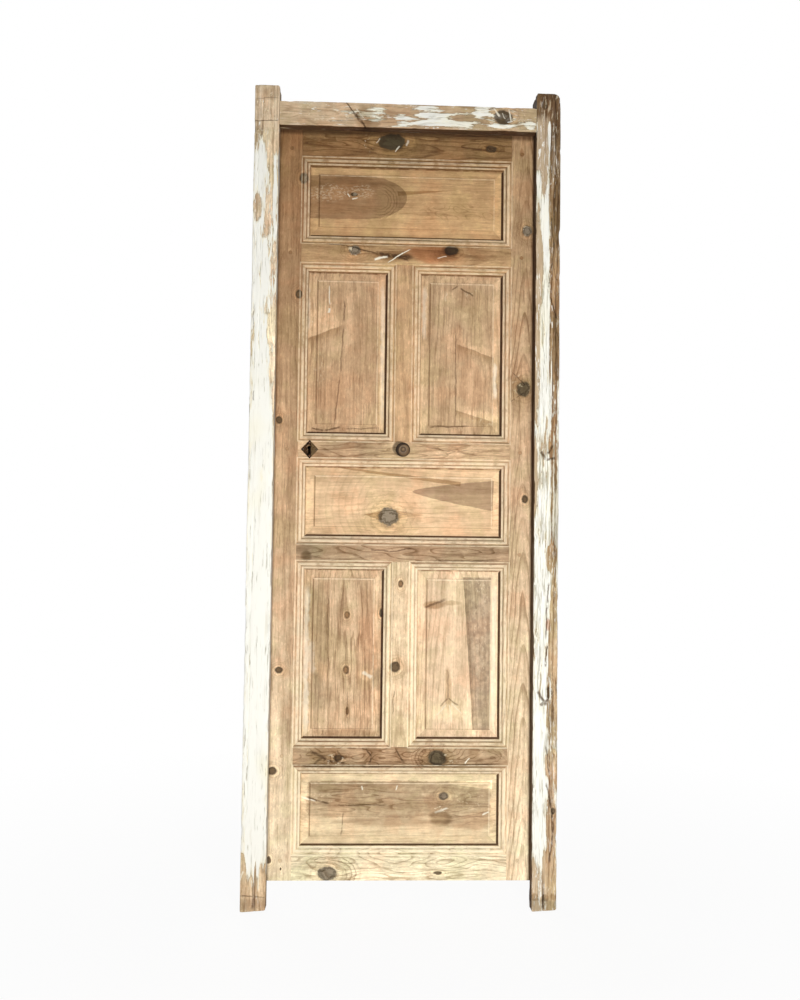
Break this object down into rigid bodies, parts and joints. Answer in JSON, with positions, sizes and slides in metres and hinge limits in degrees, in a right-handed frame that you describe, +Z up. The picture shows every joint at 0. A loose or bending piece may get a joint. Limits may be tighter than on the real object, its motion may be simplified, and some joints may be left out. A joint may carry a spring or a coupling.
{
  "type": "panelled front door in its frame",
  "caption": "Weathered pine door leaf with raised, fielded panels and moulded rails, hinged in a timber frame of posts and head; it swings inwards and has a pull knob and a rim lock.",
  "frame": {"origin": "under the middle of the whole door, at the level of the posts' feet", "axes": "+Z up along the posts, +X from the lock post to the hinge post, -Y out of the front face"},
  "size_m": [0.83, 0.108, 2.19],
  "materials": {
    "leaf_pine": "stripped, weathered, dry",
    "panel_pine": "stripped, weathered, dry",
    "frame_pine": "remains of white paint on weathered wood",
    "peg_wood": "dry end grain",
    "knob_wood": "dark, worn",
    "rusty_plate": "rusty",
    "old_iron": "dull, rust-stained"
  },
  "bodies": {
    "frame": {"lock_post": "frame_pine", "hinge_post": "frame_pine", "frame_head": "frame_pine", "frame_pegs": "peg_wood", "keeper": "old_iron", "keeper_screws": "old_iron", "upper_hinge_frame_plate": "old_iron", "middle_hinge_frame_plate": "old_iron", "lower_hinge_frame_plate": "old_iron", "upper_hinge_pin": "old_iron", "middle_hinge_pin": "old_iron", "lower_hinge_pin": "old_iron", "hinge_frame_screws": "old_iron"},
    "leaf": {"lock_stile": "leaf_pine", "hinge_stile": "leaf_pine", "bottom_rail": "leaf_pine", "lower_rail": "leaf_pine", "middle_rail": "leaf_pine", "lock_rail": "leaf_pine", "frieze_rail": "leaf_pine", "top_rail": "leaf_pine", "lower_muntin": "leaf_pine", "upper_muntin": "leaf_pine", "bottom_panel": "panel_pine", "lower_left_panel": "panel_pine", "lower_right_panel": "panel_pine", "middle_panel": "panel_pine", "upper_left_panel": "panel_pine", "upper_right_panel": "panel_pine", "frieze_panel": "panel_pine", "leaf_pegs": "peg_wood", "escutcheon": "rusty_plate", "escutcheon_nails": "old_iron", "pull_knob": "knob_wood", "knob_bolt": "old_iron", "knob_washer": "old_iron", "knob_nut": "old_iron", "lock_case": "old_iron", "lock_stud": "old_iron", "lock_spring": "old_iron", "lock_screws": "old_iron", "upper_hinge_leaf_plate": "old_iron", "middle_hinge_leaf_plate": "old_iron", "lower_hinge_leaf_plate": "old_iron", "hinge_leaf_screws": "old_iron"},
    "bolt": {"lock_bolt": "old_iron"}
  },
  "joints": [
    {"name": "leaf_swing", "type": "hinge", "parent": "frame", "child": "leaf", "pos_m": [0.3595, 0.0395, 1.0815], "axis": [0, 0, -1], "range_deg": [0, 105]},
    {"name": "bolt_throw", "type": "slide", "parent": "leaf", "child": "bolt", "axis": [-1, 0, 0], "range_m": [0, 0.018]}
  ]
}
